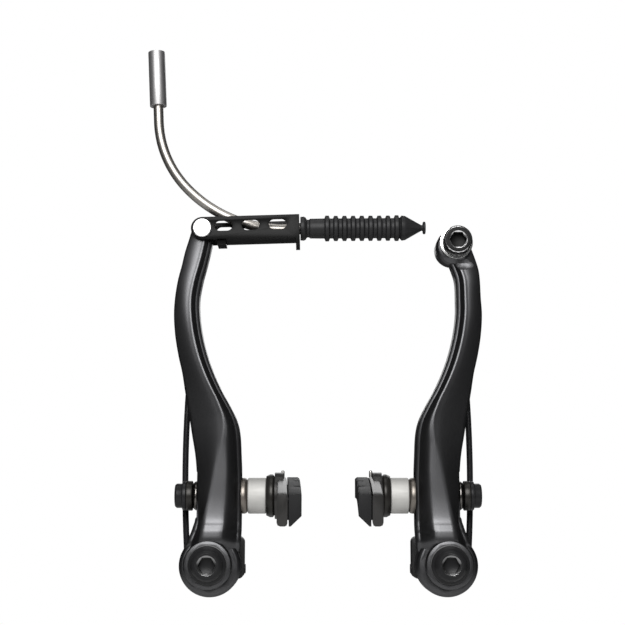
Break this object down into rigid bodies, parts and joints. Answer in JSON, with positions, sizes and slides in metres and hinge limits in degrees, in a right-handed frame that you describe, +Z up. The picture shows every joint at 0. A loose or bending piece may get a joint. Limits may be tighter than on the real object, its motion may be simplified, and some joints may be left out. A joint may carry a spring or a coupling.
{
  "type": "v-brake",
  "caption": "Linear-pull bicycle rim brake: two spring-loaded arms with adjustable pads, a pull link with a bent guide tube and a bellows boot, and a cable clamp.",
  "frame": {"origin": "midpoint between the two pivot axes, in the middle plane of the pad posts and the guide tube", "axes": "+X across the wheel towards the clamp arm, +Y to the rear along the pivots towards the frame, +Z up along the arms"},
  "size_m": [0.1162, 0.0712, 0.1893],
  "materials": {
    "arm_black": "satin black paint on forged aluminium",
    "link_black": "satin black on pressed steel",
    "bolt_black": "black oxide steel",
    "wire_black": "gloss black spring wire",
    "bright_steel": "bright steel",
    "washer_bright": "plated steel washer",
    "pin_silver": "matt silver steel",
    "tube_polished": "polished stainless tube",
    "socket_silver": "turned aluminium",
    "spacer_silver": "turned aluminium",
    "washer_dark": "dark plated steel",
    "cup_black": "black steel cup washer",
    "holder_dark": "dark anodised aluminium",
    "case_plastic": "black moulded plastic",
    "bush_plastic": "black bearing plastic",
    "liner_white": "white low-friction plastic",
    "pad_rubber": "brake rubber",
    "boot_rubber": "soft black rubber"
  },
  "bodies": {
    "frame_side": {"pivot_sleeve_left": "bright_steel", "pivot_sleeve_right": "bright_steel", "pivot_bolt_left": "bolt_black", "pivot_bolt_right": "bolt_black", "spring_left": "wire_black", "spring_right": "wire_black"},
    "left_arm": {"arm_left": "arm_black", "pivot_bush_left": "bush_plastic", "spring_case_left": "case_plastic", "tension_screw_left": "bright_steel", "spring_stud_left": "bright_steel"},
    "right_arm": {"arm_right": "arm_black", "pivot_bush_right": "bush_plastic", "spring_case_right": "case_plastic", "tension_screw_right": "bright_steel", "spring_stud_right": "bright_steel", "anchor_bolt": "bolt_black", "anchor_washer": "washer_bright"},
    "left_pad_carriage": {"pad_cup_left": "cup_black", "pad_spacer_left": "spacer_silver", "inner_washer_left": "washer_dark", "outer_ball_left": "bright_steel", "outer_cup_left": "cup_black"},
    "right_pad_carriage": {"pad_cup_right": "cup_black", "pad_spacer_right": "spacer_silver", "inner_washer_right": "washer_dark", "outer_ball_right": "bright_steel", "outer_cup_right": "cup_black"},
    "left_pad": {"pad_rubber_left": "pad_rubber", "pad_holder_left": "holder_dark", "pad_pin_left": "bright_steel", "pad_post_left": "bright_steel", "pad_nut_left": "bolt_black"},
    "right_pad": {"pad_rubber_right": "pad_rubber", "pad_holder_right": "holder_dark", "pad_pin_right": "bright_steel", "pad_post_right": "bright_steel", "pad_nut_right": "bolt_black"},
    "pull_link": {"link": "link_black", "link_pin": "pin_silver"},
    "guide": {"guide_tube": "tube_polished", "guide_socket": "socket_silver", "guide_tip": "bright_steel", "guide_liner": "liner_white", "boot": "boot_rubber"}
  },
  "joints": [
    {"name": "left_arm_pivot", "type": "hinge", "parent": "frame_side", "child": "left_arm", "pos_m": [-0.04, 0, 0], "axis": [0, 1, 0], "range_deg": [-25, 1.5], "stiffness_Nm_per_rad": 0.7, "deforming": ["spring_left", "boot"]},
    {"name": "right_arm_pivot", "type": "hinge", "parent": "frame_side", "child": "right_arm", "pos_m": [0.04, 0, 0], "axis": [0, -1, 0], "range_deg": [-25, 1.5], "stiffness_Nm_per_rad": 0.7, "deforming": ["spring_right"]},
    {"name": "link_pivot", "type": "hinge", "parent": "left_arm", "child": "pull_link", "pos_m": [-0.0432, 0, 0.1137], "axis": [0, -1, 0], "range_deg": [-12, 75]},
    {"name": "guide_swivel", "type": "hinge", "parent": "pull_link", "child": "guide", "pos_m": [-0.01321, 0, 0.11464], "axis": [0.9995, 0, 0.0314], "range_deg": [-15, 15]},
    {"name": "left_pad_height", "type": "slide", "parent": "left_arm", "child": "left_pad_carriage", "axis": [0, 0, 1], "range_m": [-0.004, 0.004]},
    {"name": "left_pad_tilt", "type": "hinge", "parent": "left_pad_carriage", "child": "left_pad", "pos_m": [-0.0142, 0, 0.0227], "axis": [1, 0, 0], "range_deg": [-8, 8]},
    {"name": "right_pad_height", "type": "slide", "parent": "right_arm", "child": "right_pad_carriage", "axis": [0, 0, 1], "range_m": [-0.004, 0.004]},
    {"name": "right_pad_tilt", "type": "hinge", "parent": "right_pad_carriage", "child": "right_pad", "pos_m": [0.0142, 0, 0.0227], "axis": [1, 0, 0], "range_deg": [-8, 8]}
  ]
}
